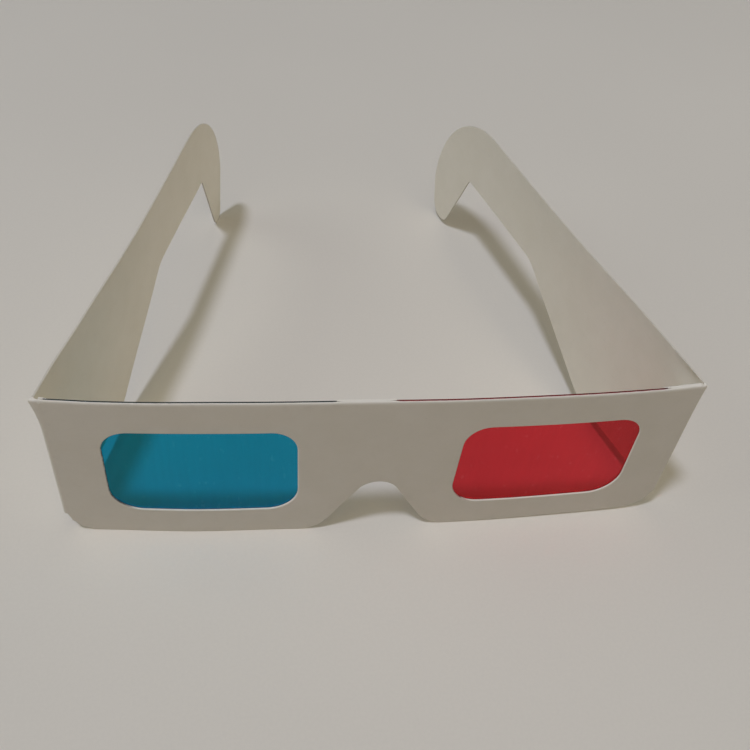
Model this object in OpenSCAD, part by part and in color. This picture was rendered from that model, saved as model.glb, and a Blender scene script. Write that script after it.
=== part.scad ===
// Card glasses for two-colour 3D pictures: a laminated card front with two
// colour filters, and two flat card arms that fold on creases.
// Millimetres. +Z is up, the face side of the front looks to -Y, the arms reach
// to +Y. Left and right are as seen from the face side.

/* [Front] */
// width of the front, over the two folds
front_w = 130; // [116:1:144]
// height of the front
front_h = 40; // [37:0.5:46]
// how far the middle of the front bows ahead of its ends
bow = 2.4; // [1:0.1:6]
// thickness of one card sheet
card_t = 0.5; // [0.4:0.05:0.6]
// rounding of the lower outer corners
corner_r = 5.5; // [3:0.5:7]

/* [Lens windows] */
// card between the two windows
bridge_w = 33.2; // [28:0.2:38]
// card from a window to the fold beside it
side_w = 10.8; // [8:0.2:14]
// card above a window
rim_top = 8.3; // [6:0.1:9.5]
// card below a window
rim_low = 7.6; // [6:0.1:9.5]
// rounding of the upper window corners
window_top_r = 5.2; // [3:0.1:7]
// rounding of the lower window corners
window_low_r = 6.5; // [3:0.1:8]

/* [Nose notch] */
// height of the notch
nose_h = 16; // [13:0.5:19]
// slope of the notch sides, in degrees from upright
nose_slope = 29; // [24:1:33]
// rounding of the top of the notch
nose_top_r = 5.6; // [4:0.1:7]
// rounding where the notch meets the lower edge
nose_low_r = 7; // [4:0.5:9]

/* [Filters] */
// thickness of a filter film
film_t = 0.18; // [0.08:0.02:0.3]
// film hidden under the card on the nose side of a window
film_lap_in = 10.9; // [8:0.1:12]
// film hidden under the card on the fold side of a window
film_lap_out = 5.7; // [4.5:0.1:6]
// how far both film strips sit off to the left
film_shift = 3.5; // [0:0.1:4]

/* [Folds] */
// free play around a fold and behind a folded arm
fold_gap = 0.05; // [0.03:0.01:0.1]
// angle of each arm inward from square, as the glasses stand
arm_rest = 15; // [8:0.5:20]

/* [Arms] */
// gap left where the end of one arm swings past the other arm
arm_gap = 0.9; // [0.5:0.1:12]
// height of an arm's lower edge above the foot of the front
arm_lift = 4; // [1:0.1:6]
// rounding of the lower corner at the fold
arm_root_r = 1.5; // [0.5:0.5:5]
// height of the slim part that lies on the ear
arm_slim_h = 18.2; // [14:0.1:22]
// length of the wide part
arm_wide_l = 32.5; // [22:0.5:38]
// length of the taper to the slim part
arm_taper_l = 32.5; // [26:0.5:42]
// rounding of the taper's two ends
taper_r = 10; // [5:0.5:14]

/* [Ear hooks] */
// radius of the outer curve of the hook
hook_r = 28; // [22:0.5:31]
// width of the hook where it leaves the arm
hook_w = 21.2; // [18:0.1:24]
// width of the hook's tip
tip_w = 8.2; // [7:0.1:10]
// how far the tip's outer corner sits in from the arm's end
tip_in = 1.7; // [1:0.1:3]
// rounding of the tip
tip_r = 3.8; // [2:0.1:4.4]
// rounding of the notch ahead of the hook
hook_notch_r = 2; // [1:0.1:3]

/* [Hidden] */
$fn = 96;
// overrun of cutting shapes
eps = 1;
// how far the disc of a rounded corner laps over its edges
lap = 0.01;
// outer radius of the bend at a fold: an arm lies flat behind the front or in
// line with it
fold_r = 1.5 * card_t + fold_gap;
fold_x = front_w / 2 - fold_r;
window_w = front_w / 2 - bridge_w / 2 - side_w;
window_h = front_h - rim_top - rim_low;
window_x = bridge_w / 2 + window_w / 2;
bow_r = (fold_x * fold_x + bow * bow) / (2 * bow);
bow_half = asin((fold_x + eps) / (bow_r - 2 * card_t));
nose_apex = nose_h - nose_top_r + nose_top_r / sin(nose_slope);
nose_half = nose_apex * tan(nose_slope);
arm_l = 2 * fold_x * cos(arm_rest) + fold_r - card_t - arm_gap;
reach = fold_r * (1 + sin(arm_rest)) + arm_l * cos(arm_rest);
// face of the front at its two ends, with the origin under the middle of the part
face_y = (bow - reach) / 2;
axis_y = face_y + fold_r;
card_color = [0.86, 0.84, 0.80];
cyan_color = [0.03, 0.58, 0.72, 0.6];
red_color = [0.86, 0.06, 0.10, 0.6];

// corner helpers: a is the point before the corner p, b is the one after it
function unit(v) = v / norm(v);
function half_angle(a, p, b) = acos(unit(a - p) * unit(b - p)) / 2;
function touch(a, p, b, r) = p + unit(a - p) * r / tan(half_angle(a, p, b));
function arc_mid(a, p, b, r) =
    p + unit(unit(a - p) + unit(b - p)) * r / sin(half_angle(a, p, b));
function turn(a, p, b) = (p - a).x * (b - p).y - (p - a).y * (b - p).x;
// angle past the touching point at which a slice ends, well off the edge
function slack(r) = 2 * acos(1 - lap / r);
function slice_end(a, p, b, r) =
    (touch(a, p, b, r) - arc_mid(a, p, b, r)) * cos(slack(r))
    + unit(a - p) * r * sin(slack(r));

// rim of a disc that fills or clears one corner, lapping over both edges
module corner_slice(a, p, b, r) {
    mid = arc_mid(a, p, b, r);
    c = mid + unit(p - mid) * lap / sin(half_angle(a, p, b));
    e = slice_end(a, p, b, r);
    f = slice_end(b, p, a, r);
    intersection() {
        translate(c)
            circle(r);
        polygon([c + 0.95 * e, c + 1.6 * e, c + 1.6 * (p - mid), c + 1.6 * f, c + 0.95 * f]);
    }
}

// outline with a true arc of radius rs[i] at each corner ps[i], counterclockwise
module soft_outline(ps, rs) {
    n = len(ps);
    difference() {
        union() {
            polygon([for (i = [0 : n - 1])
                let (a = ps[(i + n - 1) % n], p = ps[i], b = ps[(i + 1) % n])
                each rs[i] > 0 ? [touch(a, p, b, rs[i]), touch(b, p, a, rs[i])] : [p]]);
            for (i = [0 : n - 1]) {
                a = ps[(i + n - 1) % n];
                b = ps[(i + 1) % n];
                if (rs[i] > 0 && turn(a, ps[i], b) > 0)
                    corner_slice(a, ps[i], b, rs[i]);
            }
        }
        for (i = [0 : n - 1]) {
            a = ps[(i + n - 1) % n];
            b = ps[(i + 1) % n];
            if (rs[i] > 0 && turn(a, ps[i], b) < 0)
                corner_slice(a, ps[i], b, rs[i]);
        }
    }
}

// outline of the front, seen from behind the face as x and z
module front_outline() {
    soft_outline(
        [[-fold_x, front_h], [-fold_x, 0], [-nose_half, 0], [0, nose_apex],
         [nose_half, 0], [fold_x, 0], [fold_x, front_h]],
        [0, corner_r, nose_low_r, nose_top_r, nose_low_r, corner_r, 0]);
}

// one lens window, on the side given by -1 or 1
module window_outline(side) {
    x = window_w / 2;
    translate([side * window_x, rim_low])
        soft_outline(
            [[-x, 0], [x, 0], [x, window_h], [-x, window_h]],
            [window_low_r, window_low_r, window_top_r, window_top_r]);
}

// strip that one film covers, taller than the front
module film_strip(side) {
    x_in = side * (bridge_w / 2 - film_lap_in) - film_shift;
    x_out = side * (bridge_w / 2 + window_w + film_lap_out) - film_shift;
    translate([min(x_in, x_out), -eps])
        square([abs(x_out - x_in), front_h + 2 * eps]);
}

// outline in x and z, pushed right through the front along y
module through() {
    translate([0, face_y + 4 * card_t + eps, 0])
        rotate([90, 0, 0])
            linear_extrude(height = bow + 6 * card_t + 2 * eps)
                children();
}

// bowed sheet between two depths behind the face
module bowed(d0, d1) {
    translate([0, face_y - bow + bow_r, -eps])
        rotate([0, 0, -90 - bow_half])
            rotate_extrude(angle = 2 * bow_half, $fn = 2400)
                translate([bow_r - d1, 0])
                    square([d1 - d0, front_h + 2 * eps]);
}

// room that one film takes between the two cards
module film_room(side) {
    intersection() {
        bowed(card_t - film_t / 2, card_t + film_t / 2);
        through()
            film_strip(side);
    }
}

// one card of the front, with its windows and the two film recesses
module front_sheet(d0, d1) {
    difference() {
        intersection() {
            bowed(d0, d1);
            through()
                difference() {
                    front_outline();
                    window_outline(-1);
                    window_outline(1);
                }
        }
        film_room(-1);
        film_room(1);
    }
}

module film(side) {
    intersection() {
        bowed(card_t - film_t / 2, card_t + film_t / 2);
        through()
            intersection() {
                front_outline();
                film_strip(side);
            }
    }
}

// outline of an arm: x runs from the fold to the ear, y is height
module arm_outline() {
    slim_z = front_h - arm_slim_h;
    notch_x = arm_l - hook_w;
    tip_x = arm_l - tip_in;
    soft_outline(
        [[0, front_h], [0, arm_lift], [arm_wide_l, arm_lift],
         [arm_wide_l + arm_taper_l, slim_z],
         [notch_x, slim_z], [tip_x - tip_w, 0], [tip_x, 0],
         [arm_l, front_h - hook_r], [arm_l, front_h]],
        [0, arm_root_r, taper_r, taper_r, hook_notch_r, tip_r, tip_r, 0, hook_r]);
}

// places a right-hand piece on its fold; the left one is its mirror image
module at_fold(side) {
    mirror([side < 0 ? 1 : 0, 0, 0])
        translate([fold_x, axis_y, 0])
            children();
}

// arm at its standing angle, its root hollowed to turn around the crease
module arm(side) {
    at_fold(side)
        rotate([0, 0, arm_rest])
            difference() {
                translate([fold_r - card_t, 0, 0])
                    rotate([90, 0, 90])
                        linear_extrude(height = card_t)
                            arm_outline();
                translate([0, 0, -eps])
                    cylinder(r = fold_r + fold_gap, h = front_h + 2 * eps);
            }
}

// bent card of a fold, from the front's end round to the arm
module crease(side) {
    low = max(corner_r, arm_lift + arm_root_r);
    at_fold(side)
        rotate([0, 0, -90])
            rotate_extrude(angle = 90 + arm_rest)
                translate([fold_r - card_t, low])
                    square([card_t, front_h - low]);
}

module front_card() {
    color(card_color)
        front_sheet(0, card_t);
}

module back_card() {
    color(card_color)
        front_sheet(card_t, 2 * card_t);
}

module cyan_film() {
    color(cyan_color)
        film(-1);
}

module red_film() {
    color(red_color)
        film(1);
}

module left_crease() {
    color(card_color)
        crease(-1);
}

module right_crease() {
    color(card_color)
        crease(1);
}

module left_arm() {
    color(card_color)
        arm(-1);
}

module right_arm() {
    color(card_color)
        arm(1);
}

front_card();
back_card();
cyan_film();
red_film();
left_crease();
right_crease();
left_arm();
right_arm();
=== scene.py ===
"""Folding card 3D glasses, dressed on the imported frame: two glued cards with a
cyan and a red film between them, two bent creases and two flat card arms."""

import math

import bpy
import numpy as np
from bpy.props import FloatProperty, FloatVectorProperty, PointerProperty
from mathutils import Euler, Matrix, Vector
from mathutils.geometry import delaunay_2d_cdt


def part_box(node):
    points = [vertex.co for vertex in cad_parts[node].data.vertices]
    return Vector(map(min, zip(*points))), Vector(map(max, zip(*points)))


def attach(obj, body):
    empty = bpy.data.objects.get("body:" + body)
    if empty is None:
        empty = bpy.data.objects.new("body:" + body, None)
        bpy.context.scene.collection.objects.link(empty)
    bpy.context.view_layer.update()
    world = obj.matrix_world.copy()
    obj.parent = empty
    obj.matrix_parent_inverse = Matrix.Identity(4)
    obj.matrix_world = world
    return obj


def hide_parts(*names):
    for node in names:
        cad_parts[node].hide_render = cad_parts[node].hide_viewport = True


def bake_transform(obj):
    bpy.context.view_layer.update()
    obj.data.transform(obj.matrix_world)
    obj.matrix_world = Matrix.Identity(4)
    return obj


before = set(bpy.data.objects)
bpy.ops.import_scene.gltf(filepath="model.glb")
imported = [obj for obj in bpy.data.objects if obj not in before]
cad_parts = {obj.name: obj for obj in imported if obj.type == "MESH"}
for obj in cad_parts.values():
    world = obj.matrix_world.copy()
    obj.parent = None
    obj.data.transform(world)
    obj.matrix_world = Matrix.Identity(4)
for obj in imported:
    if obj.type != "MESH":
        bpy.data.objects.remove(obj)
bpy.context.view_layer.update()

bl_info = {
    "name": "Card 3D glasses",
    "version": (1, 0, 0),
    "blender": (4, 5, 0),
    "location": "View3D > Sidebar > Glasses",
    "description": "Dresses the packed frame of folding card 3D glasses",
    "category": "Object",
}

MM = 0.001
# smaller numbers than this count as nothing
NOTHING = 1e-7

# clearances: play around a fold, as in the solids
FOLD_PLAY = 0.05 * MM
# hair's breadth that keeps glued faces apart
GLUE = 0.002 * MM
# hair's breadth between an arm's root and the front when they lie in line
ROOT_GAP = 0.02 * MM
# most that a dressed piece may stand off the box of the solid it stands for
FIT = 1.2 * MM

# cut edges: rounding on the face side, where the blade came in, and behind it
FACE_SOFT = 0.26 * MM
BACK_SOFT = 0.12 * MM
# rounding on a glued side, and how much wider it is along a film
GLUED_SOFT = 0.02 * MM
FILM_SOFT = 0.11 * MM
# height over which the face rolls over into the top edge of the front, and how many
# times that height is kept free of points along a fold
TOP_ROLL = 0.7 * MM
ROLL_FREE = 1.1
# how far below the top its rolled edge and its painted seam shade begin and are full
TOP_FINISH = (1.0 * MM, 0.6 * MM)
# for each step of a cut edge, face side first: how bare the card is, and how dark its painted
# shade is: in the seam beside a film above the cyan strip, above the red one, on the back
# card, and round a window on edges that face away from the lamp
BARE = (0, 0.25, 0.8, 1, 1, 1, 0)
SEAM_SHADE_CYAN = (0, 0, 0, 0, 0, 0.7, 0.7)
SEAM_SHADE_RED = (0, 0, 0, 0, 0.7, 1, 1)
SEAM_SHADE_BACK = (1, 1, 0, 0, 0, 0, 0)
WINDOW_SHADE = (0, 0.4, 1, 1, 1, 1, 1)
# how squarely a window's edge faces right, away from the lamp, where its painted shade begins
# and is full
SHADE_FACING = (0.2, 0.7)
# how far in from a film's end the painted shade beside it is full, how far in the cards' edges
# make way for the film, and how far beyond its end the cards meet
SHADE_EASE = 0.4 * MM
FILM_EASE = 1.0 * MM
CARDS_MEET = 1.2 * MM
# share of a lamp's light that gets through a film, before it takes the film's colour, and
# how strongly a film bends light
LAMP_SHARE = 0.45
FILM_IOR = 1.17
# depth of the card's tooth, of a film's ripples and of the floor's grain
CARD_TOOTH = 0.022 * MM
FILM_RIPPLE = 0.04 * MM
FLOOR_GRAIN = 0.02 * MM

# wear of the front's lower corners: side, how far they are worn in, and how ragged
CORNER_WEAR = ((-1, 0.26 * MM, 0.16 * MM), (1, 0.28 * MM, 0.05 * MM))
# waves of a ragged edge: share, length and start
RAGS = ((0.6, 0.62 * MM, 0.0), (0.4, 0.27 * MM, 1.0))
# how far from a corner its wear begins and is full, in roundings of the corner
WEAR_REACH = (0.95, 0.75)
# share of the way to the fold at which the lower right edge begins to rise
HEEL_FROM = 0.68
# broad waves of the front and of an arm: height, length and start along, and up
FRONT_WAVE = (0.09 * MM, 9.5 * MM, 0.7, 17 * MM, -0.4)
ARM_WAVE = (0.10 * MM, 15 * MM, 0.0, 19 * MM, 0.0)
# finer waves that run aslant: height, length along and length up
FRONT_RIPPLE = (0.05 * MM, 5.1 * MM, -11 * MM)
ARM_RIPPLE = (0.05 * MM, 6.3 * MM, 9 * MM)
# how far from a fold these waves are full
FRONT_HOLD = 9 * MM
ARM_HOLD = 14 * MM
# how far out the top of the front begins to lean forward and does so fully
RIGHT_NOD = (0, 30 * MM)
LEFT_NOD = (30 * MM, 45 * MM)
# middle and half width of the swell in the left half, and what it loses up to the top
BELLY_AT = -40 * MM
BELLY_HALF = 24 * MM
BELLY_LOSS = 0.5
# along an arm from its fold, where its lean and its dent begin, are full, ease and end
LEAN_SPAN = (3 * MM, 20 * MM, 40 * MM, 66 * MM)
DENT_SPAN = (0, 2 * MM, 4 * MM, 11 * MM)
# the same for the dent, down from the upper edge
DENT_DROP = (0, 1.4 * MM, 1.4 * MM, 6 * MM)
# where an arm's sag begins and ends, and where the left root's flare eases and ends
SAG_SPAN = (18 * MM, 96 * MM)
FLARE_SPAN = (7 * MM, 22 * MM)
# share of the bend at which that flare begins
FLARE_FROM = 0.4
# height over which the pinch of a fold dies away, and how sharply
PINCH_DROP = 10 * MM
PINCH_POWER = 2.2
# how much of their cut edges' white the arms have lost by handling
ARM_GREY = 0.75

# meshes: distance between the points of a card's edge, a film's and a crease's, and
# between those on a card's face and on a film's
CUT_STEP = 0.45 * MM
FILM_STEP = 0.6 * MM
CREASE_STEP = 2.0 * MM
CARD_PITCH = 1.3 * MM
FILM_PITCH = 1.6 * MM
# distance of the rows on a face and their least distance from its edge, in pitches
ROW_SHARE = 0.87
EDGE_SHARE = 0.55
# points of an outline this close are one, and a clipped outline has no shorter stretch
ONE_POINT = MM / 100
SHORTEST = MM / 8
# stretches of a rounded corner, of an arm's rounded corner, of a rolled edge and of a bend
ARC_STEPS = 18
ARM_ARC_STEPS = 24
ROLL_STEPS = 3
BEND_STEPS = 24
# how deep in the card a crease bends without stretching, as a share of its thickness
BEND_LINE = 0.3

# stage: cool white of the lamp, and the soft panels round the glasses, with name, place
# and width in metres, watts, colour, and whether they throw shadows
LAMP_COLOUR = (0.751, 0.81, 1.0)
PANELS = (
    ("left_panel", (-1.5, 0.2, 0.8), 1.2, 6.5, (0.93, 1.0, 0.935), False),
    ("right_panel", (1.5, 0.2, 0.8), 1.2, 8.0, (1.0, 0.99, 0.88), False),
    ("front_panel", (0.0, -0.7, 1.5), 1.0, 4.2, (1.0, 0.845, 0.57), True),
)
# what is seen beyond the floor, and how far off the floor fades into it, in metres
BACKDROP = (0.45, 0.425, 0.385)
FADE = (0.7, 1.8)
# the floor's half width in metres, its cells along a side, and how far below it lies
FLOOR_HALF = 12.0
FLOOR_CELLS = 48
FLOOR_DROP = 0.02 * MM
# width of the camera's picture in millimetres, and the nearest it sees, in metres
PICTURE = 36.0
NEAREST = 0.01


# sizes and colours that a user would change


def length(name, text, value):
    """A length in metres, given here in millimetres."""
    return FloatProperty(name=name, description=text, default=value * MM, min=0.0,
                         unit="LENGTH", precision=5)


def angle(name, text, value):
    """An angle, given here in degrees."""
    return FloatProperty(name=name, description=text, default=math.radians(value),
                         subtype="ANGLE", unit="ROTATION")


def colour(name, text, value):
    """A colour as red, green and blue light."""
    return FloatVectorProperty(name=name, description=text, default=value, size=3,
                               min=0.0, max=1.0, subtype="COLOR")


class FrontSizes(bpy.types.PropertyGroup):
    """The laminated front and its windows."""

    width: length("Width", "Width of the front over the two folds", 130)
    height: length("Height", "Height of the front", 40)
    bow: length("Bow", "How far the middle stands ahead of the ends", 2.4)
    card: length("Card", "Thickness of one sheet of card", 0.5)
    corner: length("Corner", "Rounding of the lower outer corners", 5.5)
    bridge: length("Bridge", "Card between the two windows", 33.2)
    side: length("Side", "Card from a window to the fold beside it", 10.8)
    rim_top: length("Top rim", "Card above a window", 8.3)
    rim_low: length("Low rim", "Card below a window", 7.6)
    window_top: length("Window top", "Rounding of the upper window corners", 5.2)
    window_low: length("Window foot", "Rounding of the lower window corners", 6.5)
    nose: length("Nose", "Height of the nose notch", 15.75)
    nose_slope: angle("Nose slope", "Slope of the notch sides from upright", 31.1)
    nose_top: length("Nose top", "Rounding of the top of the notch", 4.7)
    nose_lean: length("Nose lean", "How far the top of the notch sits to the right", 0.43)
    nose_foot: length("Nose foot", "Rounding where the notch meets the edge", 7)
    flare: length("Flare", "Lean of a window's edge on the nose side", 0.3)
    left_out: length("Left out", "How far the left window reaches further out", 0.45)
    right_out: length("Right out", "How far the right window reaches further out", 0.22)
    heel: length("Heel", "How far the lower right corner is cut up", 0.85)
    belly: length("Belly", "How far the left half swells forward", 0.32)
    right_nod: length("Right nod", "How far the right half leans forward at the top", 0.35)
    left_nod: length("Left nod", "How far the left half leans forward at the top", 0.12)


class FilmSizes(bpy.types.PropertyGroup):
    """The two strips of film between the cards."""

    thick: length("Thickness", "Thickness of a film", 0.18)
    lap_in: length("Inner lap", "Film under the card on the nose side", 10.9)
    lap_out: length("Outer lap", "Film under the card on the fold side", 5.7)
    shift: length("Shift", "How far both strips sit off to the left", 3.5)
    set_in: length("Set in", "How far a film's edge lies in from the card's", 0.05)
    proud: length("Proud", "How far a film stands out of the cards at the top", 0.10)
    worn: length("Worn", "Rounding of a film's edge on the face side", 0.12)
    bare: length("Bare", "Film left bare above the back card", 0.40)
    skew: length("Skew", "How far the inner ends of both strips sit further left", 0.55)


class ArmSizes(bpy.types.PropertyGroup):
    """The folding arms and their hooks."""

    rest: angle("Rest", "Angle of each arm inward from square", 15)
    gap: length("Gap", "Gap where one arm's end swings past the other", 0.9)
    lift: length("Lift", "Lower edge above the foot of the front", 4)
    root: length("Root", "Rounding of the lower corner at the fold", 1.5)
    slim: length("Slim", "Height of the slim part", 18.2)
    wide: length("Wide", "Length of the wide part", 32.5)
    taper: length("Taper", "Length of the taper", 32.5)
    taper_round: length("Taper rounding", "Rounding of the taper's ends", 10)
    left_hook: length("Left hook", "Radius of the left hook's outer curve", 25)
    right_hook: length("Right hook", "Radius of the right hook's outer curve", 29.5)
    left_trim: length("Left trim", "How far the left hook is trimmed at its end", 2.8)
    right_trim: length("Right trim", "How far the right hook is trimmed at its end", 0.2)
    hook_width: length("Hook width", "Untrimmed width where a hook leaves its arm", 20.85)
    tip: length("Tip", "From a tip's inner corner to the untrimmed end", 10.2)
    tip_in: length("Tip in", "Tip's outer corner in from the arm's end", 2.3)
    left_tip: length("Left tip", "Rounding of the left hook's tip", 3.3)
    right_tip: length("Right tip", "Rounding of the right hook's tip", 4.6)
    notch: length("Notch", "Rounding of the notch ahead of the hook", 2)
    lean: length("Lean", "How far the lower edges of both arms lean inward", 0.5)
    sag: length("Sag", "How far both arms bow inward halfway along the upper edge", 0.68)
    rise: length("Rise", "How far the right arm's end stands up", 1.2)
    dent: length("Dent", "Outward dent under the right arm's upper edge by the fold", 0.4)
    left_ear: length("Left ear", "How far the left fold is pinched out at its top", 1.2)
    right_ear: length("Right ear", "How far the right fold is pinched out at its top", 0.35)
    flare: length("Flare", "How far the left arm's root stands out at its top", 0.55)


class Finish(bpy.types.PropertyGroup):
    """Colours of the card, the films and the table."""

    card: colour("Card", "Card where the fibres lie thick", (0.75, 0.695, 0.60))
    cloud: colour("Card cloud", "Card where the fibres lie thin", (0.715, 0.66, 0.56))
    cut: colour("Cut edge", "Bare cut edge of the card", (0.86, 0.81, 0.73))
    rub: colour("Rub", "Card greyed by handling", (0.58, 0.53, 0.45))
    cyan: colour("Cyan film", "Light that the cyan film lets through", (0.007, 0.350, 0.57))
    red: colour("Red film", "Light that the red film lets through", (0.71, 0.037, 0.051))
    # a film's dark edge colour, partly its dye seen edge on and partly painted shade in the
    # seam; on the card beside a film it is painted shade
    cyan_stain: colour("Cyan stain", "Edge of the cyan film and of the card beside it",
                       (0.085, 0.085, 0.08))
    red_stain: colour("Red stain", "Edge of the red film and of the card beside it",
                      (0.27, 0.04, 0.045))
    floor: colour("Floor", "Pale table top", (0.735, 0.69, 0.622))


class StageSetup(bpy.types.PropertyGroup):
    """The lights and the camera."""

    camera_at: FloatVectorProperty(
        name="Camera", description="Where the camera stands", subtype="TRANSLATION",
        unit="LENGTH", default=(-0.025774, -0.173770, 0.160975))
    camera_turn: FloatVectorProperty(
        name="Camera turn", description="How the camera is turned", subtype="EULER",
        default=tuple(math.radians(a) for a in (44.7168, -4.4474, -5.9833)))
    lens: FloatProperty(name="Lens", description="Focal length in millimetres on a "
                        "36 mm wide picture", default=42.470, min=1.0)
    shift: FloatVectorProperty(name="Shift", description="Picture centre off the lens axis",
                               size=2, default=(0.01371, 0.00672))
    lamp_way: FloatVectorProperty(
        name="Lamp way", description="From the glasses towards the lamp",
        subtype="DIRECTION", default=(-0.29, -0.22, 1.0))
    lamp_far: length("Lamp distance", "How far the lamp hangs", 6000)
    lamp_wide: length("Lamp width", "Width of the lamp", 700)
    lamp_power: FloatProperty(name="Lamp power", description="Strength of the lamp in watts",
                              default=140.0, min=0.0)
    fill: FloatProperty(name="Fill", description="Strength of the soft panels, 1 as measured",
                        default=1.0, min=0.0)
    room: FloatProperty(name="Room", description="Strength of the light from all round",
                        default=0.025, min=0.0)


class CardGlasses(bpy.types.PropertyGroup):
    """All sizes and colours of the glasses."""

    front: PointerProperty(type=FrontSizes)
    film: PointerProperty(type=FilmSizes)
    arm: PointerProperty(type=ArmSizes)
    finish: PointerProperty(type=Finish)
    stage: PointerProperty(type=StageSetup)


# outlines on the flat card


def rounded(corners, radii, steps=ARC_STEPS):
    """Outline with an arc at each corner, as points in the corners' order."""
    points = []
    corners = [np.array(c, float) for c in corners]
    for i, (p, r) in enumerate(zip(corners, radii)):
        if r <= 0:
            points.append(p)
            continue
        a, b = corners[i - 1], corners[(i + 1) % len(corners)]
        u, v = (a - p) / np.linalg.norm(a - p), (b - p) / np.linalg.norm(b - p)
        half = math.acos(float(np.dot(u, v))) / 2
        mid = p + (u + v) / np.linalg.norm(u + v) * r / math.sin(half)
        first, last = p + u * r / math.tan(half) - mid, p + v * r / math.tan(half) - mid
        a0 = math.atan2(first[1], first[0])
        sweep = (math.atan2(last[1], last[0]) - a0 + math.pi) % math.tau - math.pi
        for k in range(steps + 1):
            t = a0 + sweep * k / steps
            points.append(mid + r * np.array([math.cos(t), math.sin(t)]))
    return np.array(points)


def spread(loop, step):
    """The same outline with points no further apart than step."""
    points = []
    for a, b in zip(loop, np.roll(loop, -1, axis=0)):
        far = np.linalg.norm(b - a)
        n = math.ceil(far / step) if far > ONE_POINT else 0
        points += [a + (b - a) * k / n for k in range(n)]
    return np.array(points)


def clipped(loop, x0, x1):
    """The part of an outline between two upright lines."""
    for edge, keep in ((x0, 1), (x1, -1)):
        points = []
        for a, b in zip(loop, np.roll(loop, -1, axis=0)):
            ina, inb = keep * (a[0] - edge) >= 0, keep * (b[0] - edge) >= 0
            if ina:
                points.append(a)
            if ina != inb:
                points.append(a + (b - a) * (edge - a[0]) / (b[0] - a[0]))
        loop = np.array(points)
    return loop[np.linalg.norm(loop - np.roll(loop, 1, axis=0), axis=1) > SHORTEST]


def inward(loop):
    """For each point of a loop with card on its left, the way into the card,
    long enough that a step of 1 moves both edges by 1."""
    ahead = np.roll(loop, -1, axis=0) - loop
    ahead /= np.linalg.norm(ahead, axis=1)[:, None]
    left = np.stack([-ahead[:, 1], ahead[:, 0]], 1)
    both = left + np.roll(left, 1, axis=0)
    return 2 * both / (both * both).sum(1)[:, None]


def eased(value, low, high):
    """0 up to low, 1 from high on, and an even ease between them."""
    t = np.clip((value - low) / (high - low), 0, 1)
    return t * t * (3 - 2 * t)


def hump(value, start, full, ease, end):
    """0 up to start, 1 from full to ease, and 0 again from end on."""
    return eased(value, start, full) * (1 - eased(value, ease, end))


def wavy(along, up, wave, ripple, start=0.0):
    """Unevenness of a sheet: a broad wave, and a finer one that runs aslant."""
    height, long, long_start, tall, tall_start = wave
    fine, fine_long, fine_tall = ripple
    broad = np.sin(along / long + long_start + start) * np.cos(up / tall + tall_start)
    return height * broad + fine * np.sin(along / fine_long + up / fine_tall)


def off_edge(points, loops):
    """Distance of each point to the nearest edge, and whether it is on the card."""
    near = np.full(len(points), np.inf)
    inside = np.zeros(len(points), bool)
    for loop in loops:
        for a, b in zip(loop, np.roll(loop, -1, axis=0)):
            d = b - a
            t = np.clip((points - a) @ d / (d @ d), 0, 1)
            near = np.minimum(near, np.linalg.norm(points - a - t[:, None] * d, axis=1))
            if a[1] != b[1]:
                spans = (a[1] > points[:, 1]) != (b[1] > points[:, 1])
                at = a[0] + (points[:, 1] - a[1]) * d[0] / d[1]
                inside ^= spans & (points[:, 0] < at)
    return near, inside


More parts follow.
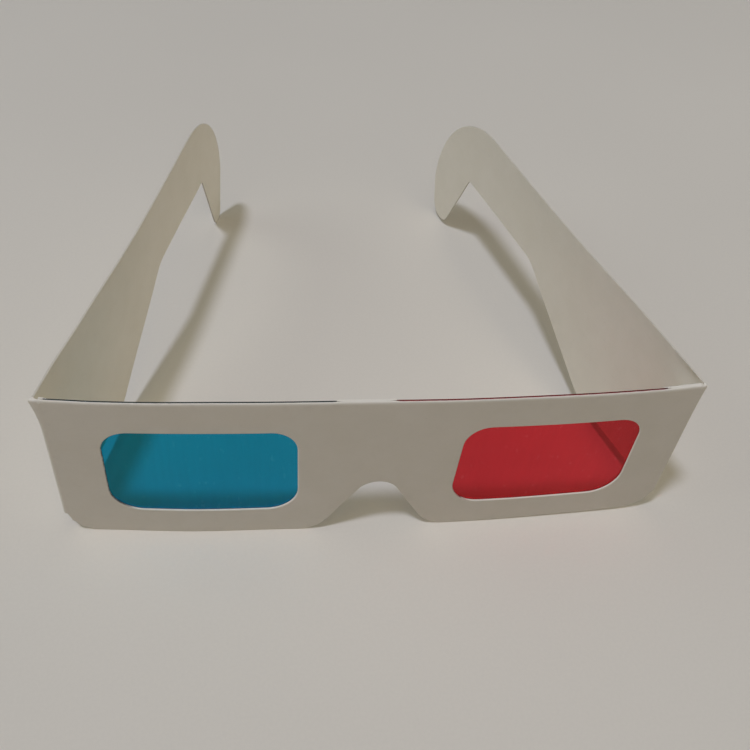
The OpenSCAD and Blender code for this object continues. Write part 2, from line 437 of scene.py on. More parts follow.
class Plan:
    """Sizes and outlines worked out from those that the user sets."""

    def __init__(self, glasses):
        f, film, arm = glasses.front, glasses.film, glasses.arm
        self.front, self.film, self.arm = f, film, arm
        # an arm can lie flat behind both cards of the front, or in line with them
        self.bend_r = 1.5 * f.card + FOLD_PLAY
        self.fold_x = f.width / 2 - self.bend_r
        self.bow_r = (self.fold_x ** 2 + f.bow ** 2) / (2 * f.bow)
        self.window_w = f.width / 2 - f.bridge / 2 - f.side
        self.arm_l = 2 * self.fold_x * math.cos(arm.rest) + self.bend_r - f.card - arm.gap
        reach = self.bend_r * (1 + math.sin(arm.rest)) + self.arm_l * math.cos(arm.rest)
        self.face_y = (f.bow - reach) / 2
        self.axis_y = self.face_y + self.bend_r
        self.bow_y = self.face_y - f.bow + self.bow_r
        self.bend = math.pi / 2 + arm.rest
        # along the flat card, from the middle of the front to an arm's root
        self.root_s = self.fold_x + (self.bend_r - f.card / 2) * self.bend

    def front_loop(self):
        """The front's outline as it was cut."""
        f, x = self.front, self.fold_x
        apex = f.nose - f.nose_top + f.nose_top / math.sin(f.nose_slope)
        half = apex * math.tan(f.nose_slope)
        loop = rounded(
            [(-x, f.height), (-x, 0), (-half, 0), (f.nose_lean, apex), (half, 0), (x, 0),
             (x, f.height)],
            [0, f.corner, f.nose_foot, f.nose_top, f.nose_foot, f.corner, 0])
        low = 1 - eased(loop[:, 1], 0, f.corner)
        loop[:, 1] += f.heel * low * eased(loop[:, 0], HEEL_FROM * x, x)
        return loop

    def worn_loop(self):
        """The front's outline, closely dotted, with its lower corners worn."""
        loop = spread(self.front_loop(), CUT_STEP)
        along = loop[:, 0] - loop[:, 1]
        rag = sum(share * np.sin(along / long + start) for share, long, start in RAGS)
        worn = np.zeros(len(loop))
        for side, deep, ragged in CORNER_WEAR:
            off = np.hypot(loop[:, 0] - side * self.fold_x, loop[:, 1]) / self.front.corner
            worn += (deep + ragged * rag) * eased(off, *WEAR_REACH)
        return loop + inward(loop) * worn[:, None]

    def at_top(self, loop):
        """Which points lie on the top edge of the front."""
        return loop[:, 1] > self.front.height - NOTHING

    def window_loop(self, side):
        """A window's edge, clockwise, so that the card is on its left."""
        f, x = self.front, self.window_w / 2
        top = f.height - f.rim_top - f.rim_low
        loop = rounded([(-x, 0), (x, 0), (x, top), (-x, top)],
                       [f.window_low, f.window_low, f.window_top, f.window_top])
        by_nose = np.clip(-side * loop[:, 0] / x, 0, 1) ** 2
        by_fold = np.clip(side * loop[:, 0] / x, 0, 1) ** 2
        loop[:, 0] -= side * f.flare * by_nose * (1 - 2 * loop[:, 1] / top)
        loop[:, 0] += side * (f.left_out if side < 0 else f.right_out) * by_fold
        return (loop + np.array([side * (f.bridge / 2 + x), f.rim_low]))[::-1]

    def film_span(self, side):
        """Where a film starts and ends along the front."""
        f, film = self.front, self.film
        ends = (side * (f.bridge / 2 - film.lap_in) - film.shift - film.skew,
                side * (f.bridge / 2 + self.window_w + film.lap_out) - film.shift)
        return min(ends), max(ends)

    def arm_loop(self, side):
        """An arm's outline: along it from the fold, and up."""
        f, a = self.front, self.arm
        hook = a.left_hook if side < 0 else a.right_hook
        tip = a.left_tip if side < 0 else a.right_tip
        end = self.arm_l - (a.left_trim if side < 0 else a.right_trim)
        slim_z = f.height - a.slim
        return rounded(
            [(ROOT_GAP, f.height), (ROOT_GAP, a.lift), (a.wide, a.lift),
             (a.wide + a.taper, slim_z), (self.arm_l - a.hook_width, slim_z),
             (self.arm_l - a.tip, 0), (end - a.tip_in, 0), (end, f.height - hook),
             (end, f.height)],
            [0, a.root, a.taper_round, a.taper_round, a.notch, tip, tip, 0, hook],
            ARM_ARC_STEPS)

    def on_film(self, x, outside, inside):
        """1 where a film lies at x, easing to 0 from inside its ends to outside them."""
        share = np.zeros_like(x)
        for side in (-1, 1):
            x0, x1 = self.film_span(side)
            share = np.maximum(share, eased(np.minimum(x - x0, x1 - x), -outside, inside))
        return share

    def film_gap(self, x):
        """Half of what the films take up between the cards, at each x."""
        return self.film.thick / 2 * self.on_film(x, CARDS_MEET, 0)

    def sway(self, x, z):
        """How far the front stands back from an even bow, nothing at the folds."""
        f, high = self.front, (z / self.front.height) ** 2
        nod = f.right_nod * eased(x, *RIGHT_NOD) + f.left_nod * eased(-x, *LEFT_NOD)
        swell = f.belly * eased(1 - np.abs(x - BELLY_AT) / BELLY_HALF, 0, 1)
        uneven = wavy(x, z, FRONT_WAVE, FRONT_RIPPLE)
        uneven = uneven - nod * high - swell * (1 - BELLY_LOSS * high)
        return eased(self.fold_x - np.abs(x), 0, FRONT_HOLD) * uneven

    def on_front(self, x, z, depth):
        """Points of the bowed front, depth behind its face."""
        r = self.bow_r - depth - self.sway(x, z)
        return np.stack([x, self.bow_y - np.sqrt(r * r - x * x), z], 1)

    def on_arm(self, side, u, z, depth):
        """Points of an arm, u from its fold and depth in from its outer face."""
        a, high = self.arm, z / self.front.height
        hold = np.clip(u / ARM_HOLD, 0, 1) ** 2
        wave = hold * wavy(u, z, ARM_WAVE, ARM_RIPPLE, side)
        lean = a.lean * (1 - high) * hump(u, *LEAN_SPAN)
        start, end = SAG_SPAN
        along = np.clip((u - start) / (end - start), 0, 1)
        sag = a.sag * high * np.sin(math.pi * along) ** 2
        dent = a.dent * hump(self.front.height - z, *DENT_DROP) * hump(u, *DENT_SPAN)
        flare = a.flare * self.pinch(z) * (1 - eased(u, *FLARE_SPAN))
        out = self.bend_r - depth + wave - lean - sag + (dent if side > 0 else flare)
        rise = a.rise * u / self.arm_l * (side > 0)
        c, s = math.cos(a.rest), math.sin(a.rest)
        return np.stack([side * (self.fold_x + out * c - u * s),
                         self.axis_y + out * s + u * c, z + rise], 1)

    def pinch(self, z):
        """How much of a fold's pinch shows at a height: all of it at the top."""
        return np.clip((z - self.front.height) / PINCH_DROP + 1, 0, 1) ** PINCH_POWER

    def on_bend(self, side, turn, z, depth):
        """Points of a crease, turned from the front's end towards the arm, and straight
        on beyond that."""
        r = self.bend_r - depth
        past = np.maximum(turn - self.bend, 0) * self.bend_r
        turn = np.minimum(turn, self.bend)
        ear = (self.arm.left_ear if side < 0 else self.arm.right_ear) * self.pinch(z)
        ear = ear * np.sin(math.pi * turn / self.bend) ** 2 * (1 - depth / self.front.card)
        flare = self.arm.flare * self.pinch(z) * eased(turn, FLARE_FROM * self.bend, self.bend)
        flare = flare * (side < 0)
        c, s = math.cos(self.arm.rest), math.sin(self.arm.rest)
        return np.stack([side * (self.fold_x + r * np.sin(turn) + ear + flare * c - past * s),
                         self.axis_y - r * np.cos(turn) + flare * s + past * c, z], 1)


# sheets as meshes


def edge_profile(thick, roll, outer, inner):
    """Steps (in from the edge, depth) across a cut edge. The face rolls over into it,
    and its back corner is softened. The sizes may differ along the edge."""
    steps = [(roll * (1 - math.sin(t)), outer * (1 - math.cos(t)))
             for t in np.linspace(0, math.pi / 2, ROLL_STEPS + 1)]
    bend = 1 - math.cos(math.pi / 4)
    return steps + [(0, thick - inner), (bend * inner, thick - bend * inner),
                    (inner, thick)]


def finish_mesh(name, points, faces, crisp, lay, **kept):
    """A mesh object with the flat-card coordinates (mm) and other values kept as
    attributes, crisp along the given rings."""
    mesh = bpy.data.meshes.new(name)
    mesh.from_pydata([tuple(p) for p in points], [], [tuple(f) for f in faces])
    if mesh.validate():
        raise RuntimeError(name + ": the sheet has faces that don't hold")
    mesh.attributes.new("lay", "FLOAT_VECTOR", "POINT").data.foreach_set(
        "vector", np.asarray(lay, np.float32).ravel() / MM)
    for key, values in kept.items():
        mesh.attributes.new(key, "FLOAT", "POINT").data.foreach_set(
            "value", np.asarray(values, np.float32))
    mesh.shade_smooth()
    for e in mesh.edges:
        if tuple(sorted(e.vertices)) in crisp:
            e.use_edge_sharp = True
    mesh.update()
    piece = bpy.data.objects.new(name, mesh)
    bpy.context.scene.collection.objects.link(piece)
    return piece


def flat_lay(x, z, depth):
    """Where points of the front lie on the flat card."""
    return np.stack([x, z, depth], 1)


def after(ring):
    """The ring's points, each one further on."""
    return ring[1:] + ring[:1]


def stepped(loop, way, inset):
    """The loop moved into the card."""
    return loop + way * np.broadcast_to(inset, len(loop))[:, None]


def squared(way, on):
    """The ways into the card, left along the fold for points that lie on one."""
    way[on, 0] = 0
    way[on & np.roll(on, 1) & np.roll(on, -1), 1] = 0
    way[on, 1] = np.sign(np.where(np.abs(way[on, 1]) < NOTHING, 0, way[on, 1]))
    return way


def face_points(loops, pitch):
    """Points in staggered rows over a face, and their distances from its edge."""
    low, high = loops[0].min(0), loops[0].max(0)
    rows = np.arange(low[1] + pitch / 2, high[1], pitch * ROW_SHARE)
    fill = np.array([(x, z) for r, z in enumerate(rows)
                     for x in np.arange(low[0] + (r % 2) * pitch / 2, high[0], pitch)])
    away, inside = off_edge(fill, loops)
    keep = inside & (away > EDGE_SHARE * pitch)
    return fill[keep], away[keep]


def face_triangles(name, rims, fill):
    """Triangles between a face's rims, over the points of the rims and then the others."""
    links, count = [], 0
    for rim in rims:
        ring = list(range(count, count + len(rim)))
        links += zip(ring, after(ring))
        count += len(rim)
    flat = np.vstack([*rims, fill])
    got = delaunay_2d_cdt([Vector(p / MM) for p in flat], links, [], 1, NOTHING)
    source = [o[0] if len(o) == 1 else -1 for o in got[3]]
    if -1 in source or len(source) != len(flat):
        raise RuntimeError(name + ": the outline crosses itself")
    tris = np.array([[source[i] for i in tri] for tri in got[2]])
    on_card = off_edge(flat[tris].mean(1), rims)[1]
    return tris[on_card].tolist()


class Sheet:
    """A sheet under construction: its points with what is kept of them, and its faces."""

    def __init__(self, place, lay_at):
        self.place, self.lay_at = place, lay_at
        self.points, self.lay = [], []
        self.kept = {"rim": [], "cut": [], "stain": []}
        self.faces, self.crisp = [], set()
        self.count = 0

    def add(self, at, depth, **kept):
        """Points at a depth behind the face; gives their numbers."""
        m = len(at)
        depth = np.broadcast_to(depth, m)
        self.points.append(self.place(at[:, 0], at[:, 1], depth))
        self.lay.append(self.lay_at(at[:, 0], at[:, 1], depth))
        for key, values in self.kept.items():
            values.append(np.broadcast_to(kept.get(key, 0.0), m))
        self.count += m
        return list(range(self.count - m, self.count))

    def add_edge(self, loop, way, steps, stained):
        """The cut edge along a loop; gives its ring on the face and the one behind."""
        rings = []
        for j, (inset, depth) in enumerate(steps):
            stain = stained(loop, j) if stained else 0.0
            rings.append(self.add(stepped(loop, way, inset), depth, cut=BARE[j], stain=stain))
        for near, far in zip(rings, rings[1:]):
            self.faces += zip(near, far, after(far), after(near))
        for ring in (rings[0], rings[-1]):
            self.crisp |= {tuple(sorted(pair)) for pair in zip(ring, after(ring))}
        return rings[0], rings[-1]

    def close(self, name, turned):
        """The finished mesh object, its faces turned over if asked."""
        faces = [face[::-1] for face in self.faces] if turned else self.faces
        kept = {key: np.concatenate(values) for key, values in self.kept.items()}
        return finish_mesh(name, np.vstack(self.points), faces, self.crisp,
                           np.vstack(self.lay), **kept)


def cut_sheet(name, loops, place, lay_at, thick, soft, pitch, held=None, stained=None,
              turned=False):
    """A sheet cut to the given loops (card on their left). soft gives the rounding of
    its cut edges on the face and behind; held says which edge points lie on a fold,
    where the edge stays square; darkened how far each step of the edge takes a film's
    dark edge colour, partly the dye seen edge on and partly painted shade."""
    sheet = Sheet(place, lay_at)
    rims, face_ring, back_ring = [], [], []
    for loop in loops:
        way = inward(loop)
        if held:
            way = squared(way, held(loop))
        steps = edge_profile(thick, *soft(loop))
        first, last = sheet.add_edge(loop, way, steps, stained)
        face_ring += first
        back_ring += last
        rims.append(stepped(loop, way, steps[0][0]))
    fill, away = face_points(loops, pitch)
    face_ring += sheet.add(fill, 0, rim=away / MM)
    back_ring += sheet.add(fill, thick, rim=away / MM)
    for tri in face_triangles(name, rims, fill):
        sheet.faces.append([face_ring[i] for i in tri])
        sheet.faces.append([back_ring[i] for i in reversed(tri)])
    return sheet.close(name, turned)


def fits(piece, *nodes, most=FIT):
    """Checks that a piece's box lies close enough to that of its solids, then hides the
    solids.
    """
    boxes = np.array([[list(c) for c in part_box(n)] for n in nodes])
    low, high = boxes[:, 0].min(0), boxes[:, 1].max(0)
    at = np.array([v.co for v in piece.data.vertices])
    off = max(np.abs(at.min(0) - low).max(), np.abs(at.max(0) - high).max())
    if off > most:
        raise RuntimeError(f"{piece.name} stands {off / MM:.2f} mm off {nodes}")
    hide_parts(*nodes)


# shaders


class Wire:
    """A node's output that is written in sums like a number."""

    def __init__(self, bench, socket):
        self.bench, self.socket = bench, socket

    def sum(self, how, a, b):
        return self.bench.node("ShaderNodeMath", {"operation": how}, {0: a, 1: b})

    def __add__(self, other):
        return self.sum("ADD", self, other)

    __radd__ = __add__

    def __sub__(self, other):
        return self.sum("SUBTRACT", self, other)

    def __rsub__(self, other):
        return self.sum("SUBTRACT", other, self)

    def __mul__(self, other):
        return self.sum("MULTIPLY", self, other)

    __rmul__ = __mul__

    def ramp(self, low, high, to_low=0.0, to_high=1.0):
        """Eased from to_low at low up to to_high at high, and held beyond."""
        return self.bench.node(
            "ShaderNodeMapRange", {"interpolation_type": "SMOOTHSTEP"},
            {"Value": self, "From Min": low, "From Max": high, "To Min": to_low,
             "To Max": to_high})


class Bench:
    """A material under construction."""

    def __init__(self, name):
        self.material = bpy.data.materials.new(name)
        self.material.use_nodes = True
        self.tree = self.material.node_tree
        self.tree.nodes.clear()

    def node(self, kind, settings=None, sockets=None, out=0):
        """A node of any type: its settings first, then its sockets' values or links."""
        made = self.tree.nodes.new(kind)
        for key, value in (settings or {}).items():
            setattr(made, key, value)
        for key, value in (sockets or {}).items():
            if isinstance(value, Wire):
                self.tree.links.new(value.socket, made.inputs[key])
            elif made.inputs[key].type == "RGBA":
                made.inputs[key].default_value = (*value, 1.0)
            else:
                made.inputs[key].default_value = value
        return Wire(self, made.outputs[out])

    def kept(self, name, out="Fac"):
        """A value kept with the mesh."""
        return self.node("ShaderNodeAttribute", {"attribute_name": name}, out=out)

    def stretch(self, vector, by):
        return self.node("ShaderNodeVectorMath", {"operation": "MULTIPLY"},
                         {0: vector, 1: by})

    def noise(self, vector, scale, detail=2.0, rough=0.5):
        """Noise with so many lumps to a unit of the vector."""
        return self.node("ShaderNodeTexNoise", None,
                         {"Vector": vector, "Scale": scale, "Detail": detail,
                          "Roughness": rough})

    def blend(self, share, a, b):
        """Colour a turned into b by a share."""
        return self.node("ShaderNodeMix", {"data_type": "RGBA"}, {0: share, 6: a, 7: b}, out=2)

    def bump(self, height, distance, strength=1.0):
        return self.node("ShaderNodeBump", None,
                         {"Height": height, "Distance": distance, "Strength": strength})

    def close(self, shader):
        last = self.tree.nodes.new("ShaderNodeOutputMaterial")
        self.tree.links.new(shader.socket, last.inputs["Surface"])
        return self.material


def card_stock(finish, name, creased=False, greyed=0.0):
    """Uncoated white board: cloudy, fibrous, a little rubbed near its edges, with
    bare plies on the cut edges, which handling has greyed by a share."""
    b = Bench(name)
    lay = b.kept("lay", "Vector")
    rim, cut = b.kept("rim"), b.kept("cut")
    cloud = b.noise(lay, 0.16, 4.0, 0.55)
    wide = b.noise(lay, 0.035, 2.0)
    fibre = b.noise(b.stretch(lay, (0.5, 1.7, 1.0)), 2.6, 4.0, 0.65)
    grain = b.noise(lay, 11.0, 2.0)
    fleck = b.noise(b.stretch(lay, (1.0, 2.2, 1.0)), 1.1, 1.0).ramp(0.70, 0.78)
    rub = b.noise(lay, 0.45, 3.0).ramp(0.48, 0.75) * rim.ramp(0.0, 3.0, 1.0, 0.15)
    face = b.blend(cloud.ramp(0.3, 0.7) * 0.55 + wide.ramp(0.35, 0.65) * 0.45,
                   finish.cloud, finish.card)
    face = b.blend(fibre.ramp(0.35, 0.75) * 0.10, face, finish.cut)
    face = b.blend(fleck * 0.22 + rub * 0.20, face, finish.rub)
    plies = b.noise(b.stretch(lay, (0.35, 0.35, 7.0)), 1.0, 3.0, 0.6)
    edge = b.blend(plies.ramp(0.42, 0.7) * 0.30, finish.cut, finish.cloud)
    edge = b.blend(fibre.ramp(0.5, 0.8) * 0.20 + greyed, edge, finish.rub)
    height = fibre * 0.55 + grain * 0.25 + cut * plies * 0.8
    if creased:
        crack = b.noise(b.stretch(lay, (6.0, 0.45, 1.0)), 1.2, 3.0, 0.6)
        face = b.blend(crack.ramp(0.55, 0.75) * 0.16, face, finish.cut)
        height = height + crack * 0.9
    # painted shade: card edges beside a film and round its windows take the film's dark edge
    # colour, cyan on the left and red on the right
    across = b.node("ShaderNodeSeparateXYZ", None, {0: lay})
    dye_and_shade_colour = b.blend(across.ramp(-1.0, 1.0), finish.cyan_stain, finish.red_stain)
    stain = b.kept("stain") * b.noise(lay, 0.8, 2.0).ramp(0.32, 0.58, 0.6, 1.0)
    shader = b.node(
        "ShaderNodeBsdfPrincipled", None,
        {"Base Color": b.blend(stain, b.blend(cut, face, edge), dye_and_shade_colour),
         "Roughness": 0.86 + (fibre - 0.5) * 0.16 - rub * 0.10,
         "Specular IOR Level": 0.28,
         "Normal": b.bump(height, CARD_TOOTH, 0.6)})
    return b.close(shader)


def clear_film(name, tint, edge):
    """Dyed clear film: smooth, a little rippled, faintly streaked, scuffed and dusty.
    A lamp's light passes through it and takes its colour."""
    b = Bench(name)
    lay = b.kept("lay", "Vector")
    streak = b.noise(b.stretch(lay, (1.0, 0.03, 0.0)), 1.3, 3.0, 0.6)
    haze = b.noise(lay, 0.12, 3.0)
    dust = b.noise(lay, 3.1, 1.0).ramp(0.72, 0.80)
    scuff = b.noise(b.stretch(lay, (1.0, 0.45, 0.0)), 0.9, 1.0).ramp(0.66, 0.73)
    ripple = b.noise(b.stretch(lay, (0.11, 0.045, 0.0)), 1.0, 2.0)
    deep, pale = tuple(c * 0.94 for c in tint), tuple(math.sqrt(c) for c in tint)
    shade = b.blend(streak.ramp(0.35, 0.7) * 0.6 + haze.ramp(0.3, 0.7) * 0.4, deep, tint)
    shade = b.blend(scuff * 0.15, shade, pale)
    # a film's cut edges take its dark edge colour: partly the dye seen edge on, partly painted
    # shade in the seam
    shade = b.blend(b.kept("stain"), shade, edge)
    film = b.node(
        "ShaderNodeBsdfPrincipled", None,
        {"Base Color": shade,
         "Roughness": 0.035 + haze.ramp(0.4, 0.8) * 0.03 + dust * 0.2,
         "Transmission Weight": 1.0,
         "IOR": FILM_IOR,
         "Normal": b.bump(ripple, FILM_RIPPLE)})
    through = b.node("ShaderNodeBsdfTransparent", None,
                     {"Color": tuple(math.sqrt(LAMP_SHARE * c) for c in tint)})
    lamp = b.node("ShaderNodeLightPath", out="Is Shadow Ray")
    return b.close(b.node("ShaderNodeMixShader", None, {0: lamp, 1: film, 2: through}))


def table_top(finish, name):
    """Plain pale table, smooth and hardly mottled, that fades into the backdrop."""
    b = Bench(name)
    at = b.node("ShaderNodeTexCoord", out="Object")
    far = b.node("ShaderNodeVectorMath", {"operation": "LENGTH"}, {0: at}, "Value").ramp(*FADE)
    broad = b.noise(at, 6.0, 2.0)
    grain = b.noise(at, 1400.0, 2.0)
    pale = tuple(finish.floor)
    worn = tuple(c * 0.96 for c in pale)
    near = b.blend(broad.ramp(0.3, 0.7) * 0.6 + grain.ramp(0.3, 0.7) * 0.4, worn, pale)
    black = (0.0, 0.0, 0.0)
    shader = b.node(
        "ShaderNodeBsdfPrincipled", None,
        {"Base Color": b.blend(far, near, black),
         "Emission Color": b.blend(far, black, BACKDROP),
         "Emission Strength": 1.0,
         "Roughness": 0.62 + grain * 0.1,
         "Specular IOR Level": 0.25,
         "Normal": b.bump(grain, FLOOR_GRAIN, 0.3)})
    return b.close(shader)


def stock(finish, name, **how):
    """The named card finish, made once."""
    return bpy.data.materials.get(name) or card_stock(finish, name, **how)


# stage


def lay_floor(scene, finish):
    """Wide pale floor just under the glasses."""
    n = FLOOR_CELLS
    grid = np.linspace(-FLOOR_HALF, FLOOR_HALF, n + 1)
    points = [(x, y, -FLOOR_DROP) for y in grid for x in grid]
    corners = [j * (n + 1) + i for j in range(n) for i in range(n)]
    mesh = bpy.data.meshes.new("floor")
    mesh.from_pydata(points, [], [(a, a + 1, a + n + 2, a + n + 1) for a in corners])
    floor = bpy.data.objects.new("floor", mesh)
    scene.collection.objects.link(floor)
    floor.data.materials.append(table_top(finish, "table_top"))


def hang_lights(scene, stage):
    """The lamp and the soft panels, each turned towards the glasses."""
    way = Vector(stage.lamp_way).normalized()
    lights = [("lamp", way * stage.lamp_far, stage.lamp_wide, "DISK", stage.lamp_power,
               LAMP_COLOUR, True)]
    lights += [(name, Vector(at), wide, "SQUARE", stage.fill * power, tint, throws)
               for name, at, wide, power, tint, throws in PANELS]
    for name, at, wide, shape, power, tint, throws in lights:
        light = bpy.data.lights.new(name, "AREA")
        light.energy, light.color = power, tint
        light.shape, light.size = shape, wide
        light.use_shadow = throws
        lamp = bpy.data.objects.new(name, light)
        lamp.location = at
        lamp.rotation_euler = (-at).to_track_quat("-Z", "Y").to_euler()
        scene.collection.objects.link(lamp)


def light_room(scene, stage):
    """Faint white light from all round, and the backdrop that the camera sees past the
    floor."""
    world = bpy.data.worlds.new("room")
    world.use_nodes = True
    nodes, links = world.node_tree.nodes, world.node_tree.links
    around, beyond = nodes["Background"], nodes.new("ShaderNodeBackground")
    around.inputs["Color"].default_value = (1, 1, 1, 1)
    around.inputs["Strength"].default_value = stage.room
    beyond.inputs["Color"].default_value = (*BACKDROP, 1)
    either, path = nodes.new("ShaderNodeMixShader"), nodes.new("ShaderNodeLightPath")
    links.new(path.outputs["Is Camera Ray"], either.inputs[0])
    links.new(around.outputs[0], either.inputs[1])
    links.new(beyond.outputs[0], either.inputs[2])
    links.new(either.outputs[0], nodes["World Output"].inputs["Surface"])
    scene.world = world
    scene.view_settings.view_transform = "Standard"


def place_camera(scene, stage):
    """The camera, at the user's place and angle."""
    camera = bpy.data.cameras.new("camera")
    camera.lens, camera.sensor_width = stage.lens, PICTURE
    camera.shift_x, camera.shift_y = stage.shift
    camera.clip_start = NEAREST
    eye = bpy.data.objects.new("camera", camera)
    eye.location = stage.camera_at
    eye.rotation_euler = Euler(stage.camera_turn, "XYZ")
    scene.collection.objects.link(eye)
    scene.camera = eye


# operators, one for each group of pieces and one for the stage


class GLASSES_OT_cards(bpy.types.Operator):
    """The two glued cards of the front, with their windows."""

    bl_idname = "glasses.cards"
    bl_label = "Front and back card"

    def execute(self, context):
        glasses = context.scene.card_glasses
        plan, front = Plan(glasses), glasses.front
        card, height = front.card, front.height
        windows = [spread(plan.window_loop(s), CUT_STEP) for s in (-1, 1)]

        def held(loop):
            return np.abs(np.abs(loop[:, 0]) - plan.fold_x) < NOTHING

        outline = plan.worn_loop()
        # the edge along a fold has no points where the top rolls over
        rolled = held(outline) & (outline[:, 1] > height - ROLL_FREE * TOP_ROLL)
        outline = outline[plan.at_top(outline) | ~rolled]
        top = plan.at_top(outline)
        lower = outline.copy()
        lower[top, 1] -= glasses.film.bare * plan.on_film(outline[top, 0], 0, FILM_EASE)

        def face_place(x, z, depth):
            inner = depth / card * (card - plan.film_gap(x) - GLUE)
            return plan.on_front(x, z, inner)

        def back_place(x, z, depth):
            gap = plan.film_gap(x) + GLUE
            return plan.on_front(x, z, card + gap + depth / card * (card - gap))

        def pressed(loop):
            """Rounding on the glued side, wider along a film."""
            return GLUED_SOFT + FILM_SOFT * plan.on_film(loop[:, 0], 0, FILM_EASE)

        def top_edge(loop):
            start, full = TOP_FINISH
            return eased(loop[:, 1], height - start, height - full)

        def face_soft(loop):
            roll = FACE_SOFT + (TOP_ROLL - FACE_SOFT) * top_edge(loop)
            return roll, FACE_SOFT, pressed(loop)

        def back_soft(loop):
            return pressed(loop), pressed(loop), BACK_SOFT

        def face_stain(loop, step):
            """Painted shade: dark along the top in the seam beside the film, and on window
            edges that face right, away from the lamp.
            """
            facing = eased(-inward(loop)[:, 0], *SHADE_FACING) * (1 - top_edge(loop))
            above = np.where(loop[:, 0] > 0, SEAM_SHADE_RED[step], SEAM_SHADE_CYAN[step])
            dark = top_edge(loop) * above + facing * WINDOW_SHADE[step]
            return plan.on_film(loop[:, 0], 0, SHADE_EASE) * dark

        # painted shade along the top of the back card's face side, in the seam where the film
        # lies
        def back_stain(loop, step):
            dark = top_edge(loop) * SEAM_SHADE_BACK[step]
            return plan.on_film(loop[:, 0], 0, SHADE_EASE) * dark

        for name, node, edge, place, soft, stain in (
                ("front_card_sheet", "front_card", outline, face_place, face_soft, face_stain),
                ("back_card_sheet", "back_card", lower, back_place, back_soft, back_stain)):
            sheet = cut_sheet(name, [edge, *windows], place, flat_lay, card, soft,
                              CARD_PITCH, held, stain)
            sheet.data.materials.append(stock(glasses.finish, "card_stock"))
            fits(sheet, node)
            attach(sheet, "front")
        return {"FINISHED"}


class GLASSES_OT_films(bpy.types.Operator):
    """The cyan and the red film between the cards."""

    bl_idname = "glasses.films"
    bl_label = "Colour films"

    def execute(self, context):
        glasses = context.scene.card_glasses
        plan, card, film = Plan(glasses), glasses.front.card, glasses.film
        outline = plan.worn_loop()
        top = plan.at_top(outline)
        outline += inward(outline) * film.set_in
        outline[top, 1] += film.set_in + film.proud

        def place(x, z, depth):
            inner = depth / film.thick * (film.thick - 2 * GLUE)
            return plan.on_front(x, z, card - film.thick / 2 + GLUE + inner)

        def soft(loop):
            return film.worn, film.worn, GLUED_SOFT

        # every step of a film's cut edge takes its dark edge colour, partly dye and partly
        # painted shade
        def dark(loop, step):
            return np.ones(len(loop))

        for colour_name, side in (("cyan", -1), ("red", 1)):
            loop = spread(clipped(outline, *plan.film_span(side)), FILM_STEP)
            sheet = cut_sheet(colour_name + "_film_sheet", [loop], place, flat_lay, film.thick,
                              soft, FILM_PITCH, stained=dark)
            tint = tuple(getattr(glasses.finish, colour_name))
            edge = tuple(getattr(glasses.finish, colour_name + "_stain"))
            sheet.data.materials.append(clear_film(colour_name + "_film", tint, edge))
            fits(sheet, colour_name + "_film")
            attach(sheet, "front")
        return {"FINISHED"}


class GLASSES_OT_creases(bpy.types.Operator):
    """The bent card of the two folds, which follows the front and the arm."""

    bl_idname = "glasses.creases"
    bl_label = "Creases"

    def execute(self, context):
        glasses = context.scene.card_glasses
        plan, f = Plan(glasses), glasses.front
        low = max(f.corner, glasses.arm.lift + glasses.arm.root)
        heights = np.linspace(low, f.height, math.ceil((f.height - low) / CREASE_STEP) + 1)

        def strip(roll):
            """Once round the strip: up its outer face, over the top, down the inside."""
            top = edge_profile(f.card, roll, FACE_SOFT, BACK_SOFT)
            foot = edge_profile(f.card, FACE_SOFT, FACE_SOFT, BACK_SOFT)
            ring = [(0.0, z) for z in np.clip(heights, low + FACE_SOFT, f.height - roll)]
            ring += [(depth, f.height - inset) for inset, depth in top[1:-1]]
            ring += [(f.card, z)
                     for z in np.clip(heights[::-1], low + BACK_SOFT, f.height - BACK_SOFT)]
            ring += [(depth, low + inset) for inset, depth in foot[-2:0:-1]]
            return np.array(ring)

        turns = np.linspace(0, plan.bend, BEND_STEPS + 1)
        turns = np.append(turns, plan.bend + ROOT_GAP / plan.bend_r)
        rings = [strip(TOP_ROLL + (FACE_SOFT - TOP_ROLL) * t / plan.bend) for t in turns]
        strips = np.vstack(rings)
        m, n = len(rings[0]), len(turns)
        faced = [0] * len(heights)
        bare = faced + list(BARE[1:-1]) + faced + list(BARE[-2:0:-1])
        faces = [(j * m + i, j * m + (i + 1) % m, (j + 1) * m + (i + 1) % m, (j + 1) * m + i)
                 for j in range(n - 1) for i in range(m)]
        faces += [tuple(reversed(range(m))), tuple((n - 1) * m + i for i in range(m))]
        for hand, side in (("left", -1), ("right", 1)):
            turned = np.repeat(turns, m)
            points = plan.on_bend(side, turned, strips[:, 1], strips[:, 0])
            s = plan.fold_x + (plan.bend_r - f.card / 2) * turned
            lay = np.stack([side * s, strips[:, 1], strips[:, 0]], 1)
            rim = np.minimum(lay[:, 1] - low, f.height - lay[:, 1])
            bend = finish_mesh(
                hand + "_crease_bend", points,
                faces if side < 0 else [tuple(reversed(q)) for q in faces],
                set(), lay, rim=rim / MM, cut=np.tile(bare, n), stain=np.zeros(len(points)))
            bend.data.materials.append(stock(glasses.finish, "creased_card", creased=True))
            fits(bend, hand + "_crease")
            ends = plan.on_bend(side, np.array([0.0, plan.bend]), np.full(2, f.height / 2),
                                np.full(2, BEND_LINE * f.card))
            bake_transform(bend)
        return {"FINISHED"}


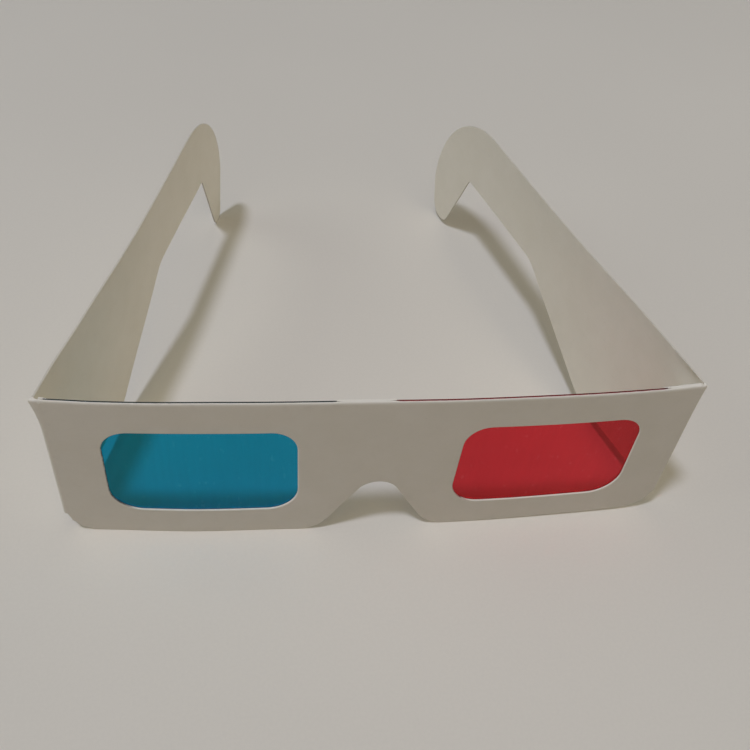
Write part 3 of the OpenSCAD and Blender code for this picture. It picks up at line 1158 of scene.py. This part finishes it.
class GLASSES_OT_arms(bpy.types.Operator):
    """The two flat arms with their ear hooks."""

    bl_idname = "glasses.arms"
    bl_label = "Arms"

    def execute(self, context):
        glasses = context.scene.card_glasses
        plan, card = Plan(glasses), glasses.front.card

        def soft(points):
            return FACE_SOFT, FACE_SOFT, BACK_SOFT

        def held(points):
            return np.abs(points[:, 0] - ROOT_GAP) < NOTHING

        for hand, side in (("left", -1), ("right", 1)):
            loop = spread(plan.arm_loop(side), CUT_STEP)

            def place(u, z, depth):
                return plan.on_arm(side, u, z, depth)

            def lay_at(u, z, depth):
                return np.stack([side * (plan.root_s + u), z, depth], 1)

            sheet = cut_sheet(hand + "_arm_sheet", [loop], place, lay_at, card, soft,
                              CARD_PITCH, held, turned=side > 0)
            sheet.data.materials.append(
                stock(glasses.finish, "handled_card", greyed=ARM_GREY))
            fits(sheet, hand + "_arm", most=FIT + glasses.arm.left_trim)
            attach(sheet, hand + "_arm")
        return {"FINISHED"}


class GLASSES_OT_stage(bpy.types.Operator):
    """Pale floor, soft light and the camera."""

    bl_idname = "glasses.stage"
    bl_label = "Stage"

    def execute(self, context):
        scene, glasses = context.scene, context.scene.card_glasses
        lay_floor(scene, glasses.finish)
        hang_lights(scene, glasses.stage)
        light_room(scene, glasses.stage)
        place_camera(scene, glasses.stage)
        return {"FINISHED"}


class GLASSES_PT_panel(bpy.types.Panel):
    """Lists the pieces and their sizes."""

    bl_label = "Card 3D glasses"
    bl_idname = "GLASSES_PT_panel"
    bl_space_type = "VIEW_3D"
    bl_region_type = "UI"
    bl_category = "Glasses"

    def draw(self, context):
        glasses = context.scene.card_glasses
        for step in STEPS:
            self.layout.operator(step.bl_idname)
        for group in (glasses.front, glasses.film, glasses.arm, glasses.finish, glasses.stage):
            box = self.layout.box()
            for key in group.__annotations__:
                box.prop(group, key)


STEPS = (GLASSES_OT_cards, GLASSES_OT_films, GLASSES_OT_creases, GLASSES_OT_arms,
         GLASSES_OT_stage)
CLASSES = (FrontSizes, FilmSizes, ArmSizes, Finish, StageSetup, CardGlasses, *STEPS,
           GLASSES_PT_panel)


def register():
    for cls in CLASSES:
        bpy.utils.register_class(cls)
    bpy.types.Scene.card_glasses = PointerProperty(type=CardGlasses)


def unregister():
    del bpy.types.Scene.card_glasses
    for cls in reversed(CLASSES):
        bpy.utils.unregister_class(cls)


def main():
    register()
    bpy.ops.glasses.cards()
    bpy.ops.glasses.films()
    bpy.ops.glasses.creases()
    bpy.ops.glasses.arms()
    bpy.ops.glasses.stage()


if __name__ == "__main__":
    main()
